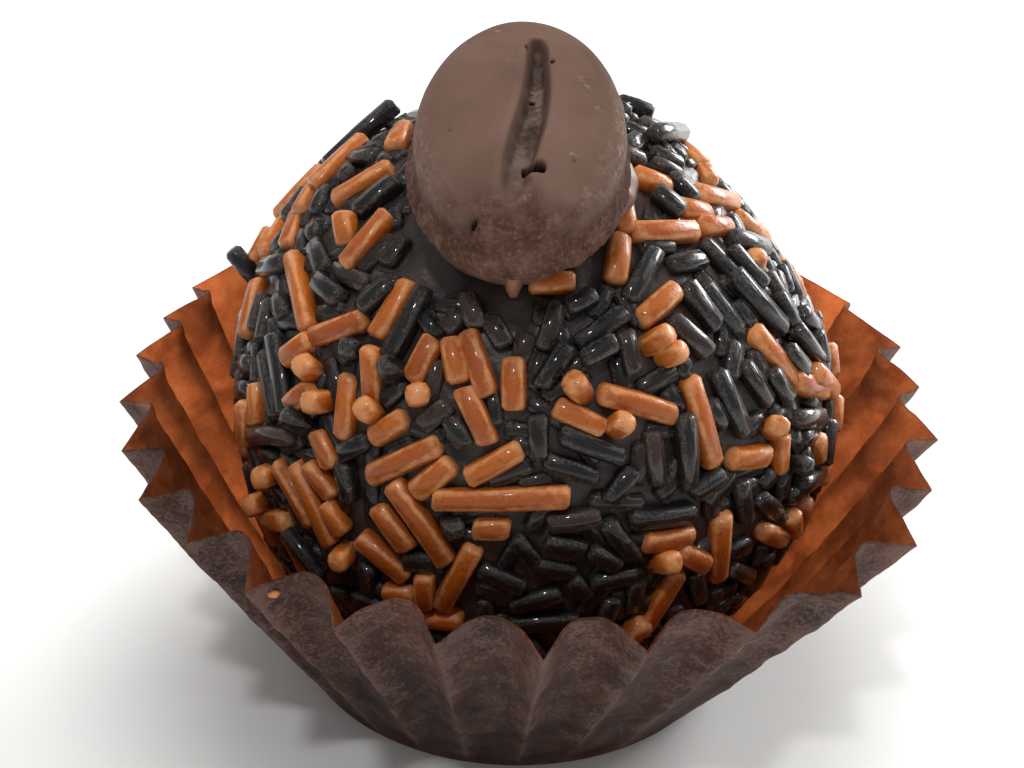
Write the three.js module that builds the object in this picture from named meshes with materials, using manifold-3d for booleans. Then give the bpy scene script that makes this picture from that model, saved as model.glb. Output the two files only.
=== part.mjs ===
// A brigadeiro: a ball of chocolate fudge rolled in sprinkle strands, with a moulded chocolate
// coffee bean stuck on top, standing in its fluted paper case.
// Millimetres, +Z up. The origin is the middle of the underside of the case; -Y is the front.
import * as THREE from 'three';
import { mergeVertices } from 'three/addons/utils/BufferGeometryUtils.js';
import Module from 'manifold-3d';

// ---- driving dimensions ----
// paper case: a 62 mm disc of waxed paper pressed into 28 flutes
const PAPER = 0.36; //            wall, as a solid; the real paper is a third of it
const BASE_R = 11.8; //           flat bottom
const FLUTES = 28;
const RIM_AT = [0.71, -0.13]; //  middle of the rim: the case leans a little
const CREASE_R = [21.56, 22.4]; // rim radius at the sharp outer creases, across and front to back
const CREASE_Z = 15.14;
const FOLD_R = [19.65, 20.75]; // rim radius at the rounded inner folds
const FOLD_Z = 16.14;
const RIM_DIP = -0.033; //        fall of the rim toward +X
const WALL_BOW = 0.1;
const FIRST_CREASE = 2.558; //    angle of crease 0, radians
// The case was opened by hand: how far each crease strays round it (degrees) and outward (mm).
const STRAY = [5.0, 2.3, 1.0, 1.0, 0.9, 0.1, -1.0, -1.7, -2.2, -3.3, -3.7, -4.5, -3.7, -1.0,
  0.1, 0.7, 1.5, 3.0, 1.7, 2.7, 2.0, 2.6, 3.2, 2.6, 3.9, 3.4, 4.8, 4.3];
const REACH = [0.26, -0.1, -0.17, -0.15, -0.08, 0.27, 0.05, 0.37, 0.25, -0.41, 0.06, -0.09, -0.11,
  0.46, 0.34, -0.3, -0.32, -0.3, 0.32, 0.41, 0.1, -0.2, 0.15, -0.1, 0.2, 0, -0.15, 0.1];
// Each inner fold: where between its creases it stands, how broad it is (1 is a plain zigzag), and
// how far it stands outward and up (mm).
const FOLD_AT = [0.5, 0.48, 0.52, 0.5, 0.48, 0.47, 0.46, 0.5, 0.55, 0.53, 0.47, 0.5, 0.56, 0.5,
  0.52, 0.5, 0.48, 0.5, 0.5, 0.52, 0.48, 0.5, 0.5, 0.47, 0.5, 0.52, 0.5, 0.48];
const BROAD = [1.1, 1.15, 1.15, 1.2, 1.3, 1.5, 1.6, 1.6, 1.7, 1.75, 1.75, 1.65, 1.6, 1.4,
  1.2, 1.2, 1.15, 1.1, 1.2, 1.25, 1.15, 1.1, 1.1, 1.15, 1.1, 1.15, 1.1, 1.2];
const FOLD_OUT = [0, 0, 0, 0.2, 0.25, 0.2, 0, 0, 0, 0, 0, 0, 0.35, 0.4, 0, 0, 0, 0, 0, 0, 0, 0, 0, 0, 0,
  0, 0, 0];
const FOLD_UP = [0.05, -0.05, -0.3, 0, -0.25, -0.25, -0.2, -0.35, -0.15, -0.2, -0.02, -0.28, -1.1, -0.55,
  -0.15, -0.15, -0.2, 0, 0.45, 0.5, 0.45, 0.4, 0.4, 0.45, 0.4, 0.45, 0.4, 0.5];

// fudge ball
const BALL = new THREE.Vector3(0.42, -0.2, 15.25);
const BALL_R = 14.92;
const SEAT_Z = 0.75; //           height of the flat it has settled on
// places where rolling by hand left it fuller or flatter: azimuth, elevation, spread (degrees), mm
const DENTS = [[-112, 38, 26, 0.35], [84, 4, 24, 0.85], [100, 31, 17, -0.55], [-87, -6, 22, -0.45],
  [180, 70, 34, 0.35], [-112, 46, 12, 0.45], [134, 62, 12, 0.4], [113, 48, 9, -0.3]];

// sprinkle strands
const STRAND_D = 1.24;
const STRAND_LONG = 4.6;
const STRAND_SHORT = 1.5;
const STRAND_SUNK = 0.24; //      how far the axis of a flat-lying strand stands off the fudge
const STRAND_TRIES = 3000;
const STRANDS_MOST = 200;
const SEED = 20;

// chocolate bean on top
const BEAN_TILT = 20.5, BEAN_LEAN = 0.6, BEAN_TURN = 2.2; // degrees
const BEAN_OFF = 16.93; //        its flat back, from the middle of the ball
const BEAN_SHIFT = [-0.765, 0.14]; // across and along the bean
const BEAN_A = 5.17, BEAN_B = 7.25; // half width and half length of the back
const BEAN_EGG = 0.067; //        how much narrower it is at its far end
const BEAN_WALL = 2.3; //         drafted side wall
const BEAN_DOME = 2.45;
const BEAN_DRAFT = 0.935; //      face outline as a share of the back's
const GROOVE_W = 1.55, GROOVE_DEEP = 0.95;
const GAP = 0.3; //               between the chocolate pieces and the fudge

const rad = THREE.MathUtils.degToRad;

// A repeatable stream of random numbers between 0 and 1.
function seeded(seed) {
  let a = seed >>> 0;
  return () => {
    a = (a + 0x6d2b79f5) >>> 0;
    let t = Math.imul(a ^ (a >>> 15), a | 1) >>> 0;
    t = (t ^ (t + Math.imul(t ^ (t >>> 7), t | 61))) >>> 0;
    return ((t ^ (t >>> 14)) >>> 0) / 4294967296;
  };
}

// Moves every vertex of a three.js geometry with place(vertex, number), then welds the seams and
// drops the empty triangles at the poles, so that the body is closed.
function shaped(geo, place) {
  geo.deleteAttribute('normal');
  geo.deleteAttribute('uv');
  const pos = geo.attributes.position;
  for (let i = 0; i < pos.count; i++) {
    const p = place(new THREE.Vector3().fromBufferAttribute(pos, i), i);
    pos.setXYZ(i, p.x, p.y, p.z);
  }
  const welded = mergeVertices(geo, 1e-4);
  const old = Array.from(welded.index.array);
  const kept = [];
  for (let i = 0; i < old.length; i += 3) {
    const [a, b, c] = old.slice(i, i + 3);
    if (a !== b && b !== c && c !== a) kept.push(a, b, c);
  }
  welded.setIndex(kept);
  return welded;
}

// A turned body with its axis up: profile runs from the bottom of the axis out and back to its top.
function turned(profile, around, place = (p) => p) {
  const geo = new THREE.LatheGeometry(profile.map(([r, z]) => new THREE.Vector2(r, z)), around);
  geo.rotateX(Math.PI / 2);
  return shaped(geo, place);
}

// ---- paper case ----
// A list with one value per crease, read at u flutes on from crease 0, evenly between creases.
function atCrease(list, u) {
  const k = Math.floor(u);
  const value = (i) => list[((i % FLUTES) + FLUTES) % FLUTES];
  return value(k) * (1 - u + k) + value(k + 1) * (u - k);
}

// 0 at a crease and 1 at the inner fold: straight flanks up to a top as broad as BROAD says.
function foldShare(u) {
  const k = Math.floor(u);
  const [at, b] = [FOLD_AT[k % FLUTES], BROAD[k % FLUTES]];
  const t = u - k < at ? (u - k) / at : (1 - u + k) / (1 - at);
  const top = (x) => x / Math.pow(1 + Math.pow(x, 6), 1 / 6);
  return top(b * t) / top(b);
}

// A point of the case's outer face: u counts flutes round it, v runs from the base (0) to the rim (1).
function caseOutside(u, v) {
  const a = FIRST_CREASE + (u * 2 * Math.PI) / FLUTES + rad(atCrease(STRAY, u));
  const fold = foldShare((u + FLUTES) % FLUTES);
  const k = Math.floor((u + FLUTES) % FLUTES);
  const [c, s] = [Math.cos(a), Math.sin(a)];
  const oval = ([across, along]) => Math.hypot(across * c, along * s);
  const rim = (oval(CREASE_R) + atCrease(REACH, u)) * (1 - fold) + (oval(FOLD_R) + FOLD_OUT[k]) * fold;
  const rimZ = CREASE_Z * (1 - fold) + (FOLD_Z + FOLD_UP[k]) * fold + RIM_DIP * rim * c;
  const r = BASE_R + (rim - BASE_R) * v + WALL_BOW * 4 * v * (1 - v);
  return new THREE.Vector3(RIM_AT[0] * v + r * c, RIM_AT[1] * v + r * s, rimZ * v);
}

// Its inner face, one wall thickness in from the outer.
function caseInside(u, v) {
  const du = 0.25;
  const along = caseOutside(u + du, v).sub(caseOutside(u - du, v));
  const up = caseOutside(u, Math.min(v + 0.05, 1)).sub(caseOutside(u, Math.max(v - 0.05, 0)));
  const normal = up.cross(along).normalize();
  if (normal.z < 0) normal.negate();
  const p = caseOutside(u, v).addScaledVector(normal, v === 0 ? PAPER * 1.3 : PAPER);
  if (v === 0) p.z = PAPER;
  return p;
}

function paperCup() {
  const per = 4;
  const up = [0, 0.37, 0.69, 1];
  const wall = [...up.map((v) => [caseOutside, v]), ...up.toReversed().map((v) => [caseInside, v])];
  // a plain dish first, turned from its bottom round the rim and back down the inside
  const plain = wall.map(([face, v]) => [BASE_R + 8 * v - (face === caseInside ? PAPER : 0), 15 * v]);
  return turned([[0, 0], ...plain, [0, PAPER]], FLUTES * per, (p, i) => {
    const row = i % (wall.length + 2);
    if (row === 0 || row > wall.length) return p;
    const [face, v] = wall[row - 1];
    return face(Math.floor(i / (wall.length + 2)) / per, v);
  });
}

// ---- fudge ball ----
function direction(az, el) {
  const [a, e] = [rad(az), rad(el)];
  return new THREE.Vector3(Math.sin(a) * Math.cos(e), -Math.cos(a) * Math.cos(e), Math.sin(e));
}

const dents = DENTS.map(([az, el, spread, mm]) => [direction(az, el), rad(spread), mm]);

// Distance of the fudge surface from the middle of the ball along the unit vector n.
function fudgeRadius(n) {
  let r = BALL_R;
  for (const [at, spread, mm] of dents) r += mm * Math.exp(-((n.angleTo(at) / spread) ** 2));
  if (n.z < 0) r = Math.min(r, (BALL.z - SEAT_Z) / -n.z);
  return r;
}

function fudgeBall() {
  const ball = new THREE.SphereGeometry(1, 26, 14).rotateX(Math.PI / 2);
  return shaped(ball, (p) => {
    const n = p.normalize();
    return n.clone().multiplyScalar(fudgeRadius(n)).add(BALL);
  });
}

// ---- chocolate bean ----
// Its own axes: X across, Y along, Z out of the flat back, from the middle of the back.
function beanFrame() {
  const z = new THREE.Vector3(
    Math.sin(rad(BEAN_LEAN)), -Math.sin(rad(BEAN_TILT)), Math.cos(rad(BEAN_TILT))).normalize();
  const y0 = new THREE.Vector3(0, 1, 0).addScaledVector(z, -z.y).normalize();
  const x0 = y0.clone().cross(z);
  const [c, s] = [Math.cos(rad(BEAN_TURN)), Math.sin(rad(BEAN_TURN))];
  const x = x0.clone().multiplyScalar(c).addScaledVector(y0, -s);
  const y = x0.clone().multiplyScalar(s).addScaledVector(y0, c);
  const at = BALL.clone().addScaledVector(z, BEAN_OFF)
    .addScaledVector(x, BEAN_SHIFT[0]).addScaledVector(y, BEAN_SHIFT[1]);
  return new THREE.Matrix4().makeBasis(x, y, z).setPosition(at);
}

const beanPlace = beanFrame();
const beanInverse = beanPlace.clone().invert();

// Height of the domed face over the back at a share q of the way from its middle to its outline.
const domeHeight = (q) => BEAN_WALL + BEAN_DOME * Math.sqrt(Math.max(1 - Math.pow(q, 2.5), 0));

// The middle line of the groove, an S from the far end (t = 0) to the near end (t = 1).
const grooveLine = (t) => new THREE.Vector2(
  0.23 + 0.4 * Math.cos(((Math.PI * (t - 0.33)) / 0.72) * (t < 0.33 ? 0.62 : 1)), 3.85 - 9.65 * t);

function beanBody() {
  const face = [1, 0.98, 0.92, 0.82, 0.67, 0.47, 0.24, 0];
  const profile = [[0, 0], [0.985, 0], [1, 0.25], [0.985, BEAN_WALL * 0.5],
    ...face.map((q) => [BEAN_DRAFT * q, domeHeight(q)])];
  return turned(profile, 36, (p) => new THREE.Vector3(
    BEAN_A * p.x * (1 - BEAN_EGG * p.y), BEAN_B * p.y, p.z));
}

// What the groove takes out: a block bent along the groove's line into a trough with sloped sides,
// its floor at an even depth under the face, narrowed toward both ends.
function grooveCutter() {
  const side = { '-1': [0.62, 0], 0: [1, 0.75], 1: [1.25, 2] };
  return shaped(new THREE.BoxGeometry(2, 1, 2, 2, 14, 2), (b) => {
    const t = 0.5 - b.y;
    const p = grooveLine(t);
    const d = grooveLine(t + 0.01).sub(grooveLine(t - 0.01)).normalize();
    const narrow = Math.pow(Math.sin(Math.PI * (0.12 + 0.72 * t)), 0.7);
    const q = Math.hypot(p.x / BEAN_A, p.y / BEAN_B) / BEAN_DRAFT;
    const [wide, high] = side[Math.round(b.z)];
    const w = b.x * wide * narrow * (GROOVE_W / 2);
    return new THREE.Vector3(p.x - d.y * w, p.y + d.x * w,
      domeHeight(q) - GROOVE_DEEP * Math.pow(narrow, 0.6) + high);
  });
}

// ---- melted chocolate under the bean ----
// Outline of the dab: how far it reaches from the bean's middle at the angle a round the bean.
function dabReach(a) {
  const lobe = (at, wide, mm) => {
    const off = Math.atan2(Math.sin(a - at), Math.cos(a - at));
    return mm * Math.exp(-((off / wide) ** 2));
  };
  const drip = 0.62 * Math.exp(-((Math.atan2(Math.sin(a + 1.575), Math.cos(a + 1.575)) / 0.095) ** 4));
  return 4.7 + lobe(0.25, 0.5, 0.85) + lobe(-1.65, 0.5, 0.95) + drip
    + lobe(-2.2, 0.4, 0.35) + 0.12 * Math.sin(5 * a + 1);
}

// A point of the dab: a share of its reach at the angle a, from the fudge (0) up to the bean (1).
function dabPoint(a, share, height) {
  const r = dabReach(a) * share * 1.1;
  const top = new THREE.Vector3(r * Math.cos(a), r * Math.sin(a), -GAP).applyMatrix4(beanPlace);
  const n = top.clone().sub(BALL).normalize();
  return n.clone().multiplyScalar(fudgeRadius(n) + GAP).add(BALL).lerp(top, height);
}

function dabBody() {
  const profile = [[0, 0], [0.5, 0], [0.95, 0], [1, 0.25], [0.92, 0.65], [0.78, 1], [0, 1]];
  const first = Math.atan2(-1, 0.03); // so that one column runs down the drip
  return turned(profile, 32, (p) => dabPoint(Math.atan2(p.y, p.x) + first, Math.hypot(p.x, p.y), p.z));
}

// ---- sprinkle strands ----
// The strands that catch the eye on the front: azimuth, elevation, heading from level (degrees),
// length in mm; a fifth number tips the strand up out of the surface, 90 standing on end.
const SHOWN = [
  [-4.5, 12.7, 5, 6.4], [-54, 51, 90, 3.4], [-79, 57, 85, 3.3], [-103, 51, 150, 4.2], [-95, 45, 160, 3.1],
  [-106, 39, 122, 3.6], [-86, 40, 157, 2.6], [-97, 33, 160, 3.4], [-64, 36, 159, 5.2],
  [-46, 35, 37, 3.5], [-34, 42, 82, 3.1], [-83, 23, 140, 3.2], [-64, 50, 135, 1.8, 30],
  [-37, 23, 101, 3.1], [-33, 30, 100, 2.7, 20], [-27, 22, 43, 2.1], [-23, 35, 75, 2.3],
  [-16, 36, 112, 2.2], [-11, 36, 115, 3.2], [-3, 33, 93, 2.5], [-10, 27, 120, 2.9], [-23, 17, 35, 4.1],
  [-17, 15, 46, 2.5], [-6, 19, 33, 3.0], [-19, 6, 129, 4.7], [-24, 4, 132, 2.6], [-6, 7, 3, 1.8],
  [-12, -4, 67, 4.4], [-26, -3, 148, 3.1], [-40, 14, 134, 2.0], [-42, 2, 126, 4.4], [-47, 2, 139, 3.6],
  [10, 27, 150, 2.6], [22, 28, 155, 4.0], [35, 22, 96, 4.5], [45, 12, 162, 2.7], [54, 9, 77, 2.0],
  [59, 26, 118, 4.2], [68, 16, 147, 4.0], [26, 2, 173, 2.7], [26, -13, 71, 4.4], [38, -4, 95, 4.1],
  [54, -9, 143, 3.6], [33, 44, 20, 2.8], [48, 56, 158, 3.8], [27, 54, 61, 2.6], [84, 53, 133, 3.6],
  [106, 53, 170, 3.6], [88, 43, 114, 2.6], [64, 65, 117, 2.0], [-48, 26, 60, 2.0, 65],
  [-43, 22, 10, 2.0, 80], [-31, 24, 60, 2.0, 75], [-22, 29, 20, 2.0, 70], [10, 32, 140, 2.0, 60],
  [17, 25, 60, 2.0, 70], [-34, -5, 30, 2.0, 75], [25, -2, 80, 2.2, 60], [-118, 52, 128, 4.8, 10],
  [-96, 24, 110, 2.6, 65],
];

// A strand: its middle, the unit vector along it, half its straight part.
function strandAt(n, heading, tip, length, lift) {
  const level = new THREE.Vector3(-n.y, n.x, 0).normalize();
  const rise = n.clone().cross(level);
  const flat = level.multiplyScalar(Math.cos(heading)).addScaledVector(rise, Math.sin(heading));
  const dir = flat.multiplyScalar(Math.cos(tip)).addScaledVector(n, Math.sin(tip));
  const half = (length - STRAND_D * 0.72) / 2;
  const stand = Math.abs(Math.sin(tip)) * half - (0.04 * half * half * Math.cos(tip) ** 2) / 2;
  const mid = n.clone().multiplyScalar(fudgeRadius(n) + STRAND_SUNK + lift + stand * 0.5).add(BALL);
  return { mid, dir, half };
}

// Least distance between two strands' middle lines, walked in five steps along the first.
function strandGap(a, b) {
  let least = Infinity;
  for (let k = -2; k <= 2; k++) {
    const p = a.mid.clone().addScaledVector(a.dir, (a.half * k) / 2).sub(b.mid);
    const t = THREE.MathUtils.clamp(p.dot(b.dir), -b.half, b.half);
    least = Math.min(least, p.addScaledVector(b.dir, -t).length());
  }
  return least;
}

// Whether a strand keeps off the bean, the dab and the bottom of the case.
function strandClear(s) {
  const room = STRAND_D / 2 + 0.18;
  for (const k of [-1.25, -0.6, 0, 0.6, 1.25]) {
    const p = s.mid.clone().addScaledVector(s.dir, s.half * k);
    if (p.z < PAPER + GAP + STRAND_D / 2) return false;
    const q = p.clone().applyMatrix4(beanInverse);
    const reach = Math.hypot(q.x, q.y);
    const a = Math.atan2(q.y, q.x);
    if (reach < dabReach(a) + room) return false;
    const share = Math.hypot(q.x / (BEAN_A + room), q.y / (BEAN_B + room));
    if (share < 1 && q.z > -room) return false;
  }
  return true;
}

// The shown strands, then more at random from the longest down, each where there is room for it.
function scatter(most) {
  const put = [];
  for (const [az, el, heading, length, tip = 0] of SHOWN) {
    const s = strandAt(direction(az, el), rad(heading), rad(tip), length, 0);
    if (strandClear(s)) put.push(s);
  }
  const draw = seeded(SEED);
  for (let k = 0; k < STRAND_TRIES && put.length < most; k++) {
    const [u, v, h, l] = [draw(), draw(), draw(), draw()];
    const n = direction(360 * v, THREE.MathUtils.radToDeg(Math.asin(1 - 1.86 * u)));
    const length = STRAND_LONG - (STRAND_LONG - STRAND_SHORT) * Math.pow(k / STRAND_TRIES, 0.5)
      + 0.5 * (l - 0.5);
    const s = strandAt(n, Math.PI * h, 0, length, 0);
    if (strandClear(s) && put.every((o) => o.mid.distanceTo(s.mid) > o.half + s.half + STRAND_D
      || strandGap(s, o) > 0.93 * STRAND_D)) put.push(s);
  }
  return put;
}

// A strand as a five-sided rod with blunt ends, a flat side down.
function strandRod({ mid, dir, half }) {
  const side = dir.clone().cross(mid.clone().sub(BALL).normalize());
  if (side.length() < 0.3) side.crossVectors(dir, new THREE.Vector3(0, 0, 1));
  side.normalize();
  const end = half + STRAND_D * 0.36;
  const r = (STRAND_D / 2) * 1.08;
  const profile = [[0, -end], [r * 0.92, 0.15 - end], [r * 0.92, end - 0.15], [0, end]];
  const place = new THREE.Matrix4().makeBasis(side, dir.clone().cross(side), dir).setPosition(mid);
  return turned(profile, 5, (p) => p.applyMatrix4(place));
}

// ---- the part ----
const wasm = await Module();
wasm.setup();

function solid(g) {
  return new wasm.Manifold(new wasm.Mesh({
    numProp: 3,
    vertProperties: new Float32Array(g.attributes.position.array),
    triVerts: new Uint32Array(g.index.array),
  }));
}

function geometry(body) {
  const mesh = body.getMesh();
  const geo = new THREE.BufferGeometry();
  geo.setAttribute('position', new THREE.Float32BufferAttribute(mesh.vertProperties, 3));
  geo.setIndex(Array.from(mesh.triVerts));
  return geo;
}

const group = new THREE.Group();

function add(name, geo, color, roughness) {
  const mesh = new THREE.Mesh(geo, new THREE.MeshStandardMaterial({ color, roughness }));
  mesh.name = name;
  group.add(mesh);
}

const rods = scatter(STRANDS_MOST).map((s) => solid(strandRod(s)));
const coated = wasm.Manifold.union([solid(fudgeBall()), ...rods]).simplify(0.03);
// the outer skin alone: pockets shut in between strands are filled, loose scraps are left out
const truffle = coated.decompose().sort((a, b) => b.volume() - a.volume())[0];
const bean = solid(beanBody()).subtract(solid(grooveCutter()));

add('paper_cup', paperCup(), 0x4a3a34, 0.7);
add('truffle', geometry(truffle), 0x2a211d, 0.5);
add('chocolate_dab', dabBody(), 0x5b4238, 0.6);
add('coffee_bean', geometry(bean).applyMatrix4(beanPlace), 0x6d544a, 0.6);

export default group;
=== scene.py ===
"""A brigadeiro: a ball of chocolate fudge rolled in sprinkle strands, with a moulded chocolate
coffee bean stuck on top, standing in its fluted paper case. Shapes are worked out in millimetres
and put into the meshes in metres, +Z up, the front towards -Y."""
import math

import bpy
import numpy as np
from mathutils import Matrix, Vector


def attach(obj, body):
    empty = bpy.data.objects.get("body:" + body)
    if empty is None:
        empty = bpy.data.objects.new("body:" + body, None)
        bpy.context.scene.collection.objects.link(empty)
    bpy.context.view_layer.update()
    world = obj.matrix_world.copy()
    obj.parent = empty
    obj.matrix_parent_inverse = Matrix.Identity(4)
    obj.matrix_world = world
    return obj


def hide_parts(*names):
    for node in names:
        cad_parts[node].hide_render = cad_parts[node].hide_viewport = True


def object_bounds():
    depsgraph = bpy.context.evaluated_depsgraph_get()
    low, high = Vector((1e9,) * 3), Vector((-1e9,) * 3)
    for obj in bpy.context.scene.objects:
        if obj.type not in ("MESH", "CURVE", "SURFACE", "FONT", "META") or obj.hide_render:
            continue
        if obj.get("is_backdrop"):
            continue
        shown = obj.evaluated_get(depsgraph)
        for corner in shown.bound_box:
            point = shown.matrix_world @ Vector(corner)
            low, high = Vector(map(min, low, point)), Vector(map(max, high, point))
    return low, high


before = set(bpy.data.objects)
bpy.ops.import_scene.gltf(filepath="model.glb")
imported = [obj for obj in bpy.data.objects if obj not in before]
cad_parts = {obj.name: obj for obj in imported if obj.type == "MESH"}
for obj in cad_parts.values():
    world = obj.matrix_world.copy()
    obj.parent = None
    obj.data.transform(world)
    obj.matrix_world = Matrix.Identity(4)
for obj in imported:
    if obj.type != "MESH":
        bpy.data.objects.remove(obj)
cad_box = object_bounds()


# ---- Paper case ---------------------------------------------------------------------------------
# A disc of thin brown greaseproof paper, pressed hot in a fluted die into 28 flutes round a flat
# base. Handling has scuffed it, and the wax has worn pale along the outer creases and the cut rim.
MM = 0.001
FLUTES = 28
BASE_R = 11.8
RIM_AT = (0.71, -0.13)  # middle of the rim: the case leans a little
CREASE_R = (21.56, 22.4)  # rim radius at the sharp outer creases, across and front to back
CREASE_Z = 15.14
FOLD_R = (19.65, 20.75)  # rim radius at the rounded inner folds
FOLD_Z = 16.14
RIM_DIP = -0.033
WALL_BOW = 0.1
FIRST_CREASE = 2.558
# how far each crease strays round the case (degrees) and outward (mm)
STRAY = [5.0, 2.3, 1.0, 1.0, 0.9, 0.1, -1.0, -1.7, -2.2, -3.3, -3.7, -4.5, -3.7, -1.0,
         0.1, 0.7, 1.5, 3.0, 1.7, 2.7, 2.0, 2.6, 3.2, 2.6, 3.9, 3.4, 4.8, 4.3]
REACH = [0.26, -0.1, -0.17, -0.15, -0.08, 0.27, 0.05, 0.37, 0.25, -0.41, 0.06, -0.09, -0.11, 0.46,
         0.34, -0.3, -0.32, -0.3, 0.32, 0.41, 0.1, -0.2, 0.15, -0.1, 0.2, 0, -0.15, 0.1]
# each inner fold: where between its creases it stands, how broad it is (1 is a plain zigzag), and
# how far it stands outward and up (mm)
FOLD_AT = [0.5, 0.48, 0.52, 0.5, 0.48, 0.47, 0.46, 0.5, 0.55, 0.53, 0.47, 0.5, 0.56, 0.5,
           0.52, 0.5, 0.48, 0.5, 0.5, 0.52, 0.48, 0.5, 0.5, 0.47, 0.5, 0.52, 0.5, 0.48]
BROAD = [1.1, 1.15, 1.15, 1.2, 1.3, 1.5, 1.6, 1.6, 1.7, 1.75, 1.75, 1.65, 1.6, 1.4,
         1.2, 1.2, 1.15, 1.1, 1.2, 1.25, 1.15, 1.1, 1.1, 1.15, 1.1, 1.15, 1.1, 1.2]
FOLD_OUT = [0, 0, 0, 0.2, 0.25, 0.2, 0, 0, 0, 0, 0, 0, 0.35, 0.4] + [0] * 14
FOLD_UP = [0.05, -0.05, -0.3, 0, -0.25, -0.25, -0.2, -0.35, -0.15, -0.2, -0.02, -0.28, -1.1,
           -0.55, -0.15, -0.15, -0.2, 0, 0.45, 0.5, 0.45, 0.4, 0.4, 0.45, 0.4, 0.45, 0.4, 0.5]
PAPER_THICK = 0.13
LIP = 0.03  # how far the middle of the cut edge stands up from the rim
PER_FLUTE = 26
WALL_ROWS = 44


def ripple(points, size, seed, waves=14):
    """Uneven swelling of about -1 to 1: a sum of sines of the position along random directions,
    each with a wavelength near size, scaled so that its root mean square is 0.6."""
    rng = np.random.default_rng(seed)
    way = rng.normal(size=(waves, 3))
    way *= (2 * np.pi / size * rng.uniform(0.7, 1.5, (waves, 1))
            / np.linalg.norm(way, axis=1)[:, None])
    turn = rng.uniform(0, 2 * np.pi, waves)
    return np.sin(points @ way.T + turn).mean(-1) * math.sqrt(waves / 2) * 1.2


def at_crease(values, u):
    """A list with one value per crease, read at u flutes round, straight between creases."""
    values = np.asarray(values)
    low = np.floor(u).astype(int)
    return values[low % FLUTES] * (1 - u + low) + values[(low + 1) % FLUTES] * (u - low)


def fold_share(u):
    """0 at the creases (whole u) and 1 at the inner fold: straight flanks up to a broad top. With t
    the zigzag and b how broad: g(b t) / g(b), where g(x) = x / (1 + x^6)^(1/6)."""
    k = np.floor(u).astype(int) % FLUTES
    x, at, b = u - np.floor(u), np.asarray(FOLD_AT)[k], np.asarray(BROAD)[k]
    t = np.minimum(x / at, (1 - x) / (1 - at))
    return t * ((1 + b ** 6) / (1 + (b * t) ** 6)) ** (1 / 6)


def case_face(u, v):
    """The outer face, u flutes round and v of the way from base to rim. The rim swings between a
    sharp outer crease at whole u and an inner fold between, by fold_share, and the wall runs nearly
    straight down from it to the round base."""
    a = FIRST_CREASE + 2 * np.pi * u / FLUTES + np.radians(at_crease(STRAY, u))
    fold = fold_share(u)
    c, s = np.cos(a), np.sin(a)
    crease_r = np.hypot(CREASE_R[0] * c, CREASE_R[1] * s) + at_crease(REACH, u)
    flute = np.floor(u).astype(int) % FLUTES
    fold_r = np.hypot(FOLD_R[0] * c, FOLD_R[1] * s) + np.asarray(FOLD_OUT)[flute]
    rim = crease_r * (1 - fold) + fold_r * fold
    rim_z = CREASE_Z * (1 - fold) + (FOLD_Z + np.asarray(FOLD_UP)[flute]) * fold + RIM_DIP * rim * c
    r = BASE_R + (rim - BASE_R) * v + WALL_BOW * 4 * v * (1 - v)
    return np.stack([RIM_AT[0] * v + r * c, RIM_AT[1] * v + r * s, rim_z * v], -1)


def tip_bend(u, v):
    """How far (mm) the tip of each inner fold is bent in: a low flap along its top, with a sharp
    corner on one side and a soft one on the other, growing over the last 20th of the way up."""
    flute = np.floor(u).astype(int) % FLUTES
    rng = np.random.default_rng(7)
    start, wide, deep = rng.uniform([[0.14], [0.3], [0.07]], [[0.2], [0.4], [0.2]],
                                    (3, FLUTES))[:, flute]
    x = u - np.floor(u) - np.asarray(FOLD_AT)[flute] + start
    across = np.clip(x / 0.03, 0, 1) * np.clip((wide - x) / 0.08, 0, 1)
    return deep * across * np.clip((v - 0.952) / 0.048, 0, 1)


def case_in(u, v, depth):
    """The face moved in by depth, along the normal taken a quarter of a flute to each side."""
    along = case_face(u + 0.25, v) - case_face(u - 0.25, v)
    up = case_face(u, np.minimum(v + 0.05, 1)) - case_face(u, np.maximum(v - 0.05, 0))
    normal = np.cross(up, along)
    normal /= np.linalg.norm(normal, axis=-1)[..., None]
    face = case_face(u, v)
    crinkle = 0.06 * ripple(face, 2.9, 3) + 0.025 * ripple(face, 1.0, 4)
    return face + normal * (depth + crinkle * np.clip(v * 4, 0, 1) + tip_bend(u, v))[..., None]


def add_object(name, data):
    """A new object in the scene."""
    made = bpy.data.objects.new(name, data)
    bpy.context.scene.collection.objects.link(made)
    return made


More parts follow.
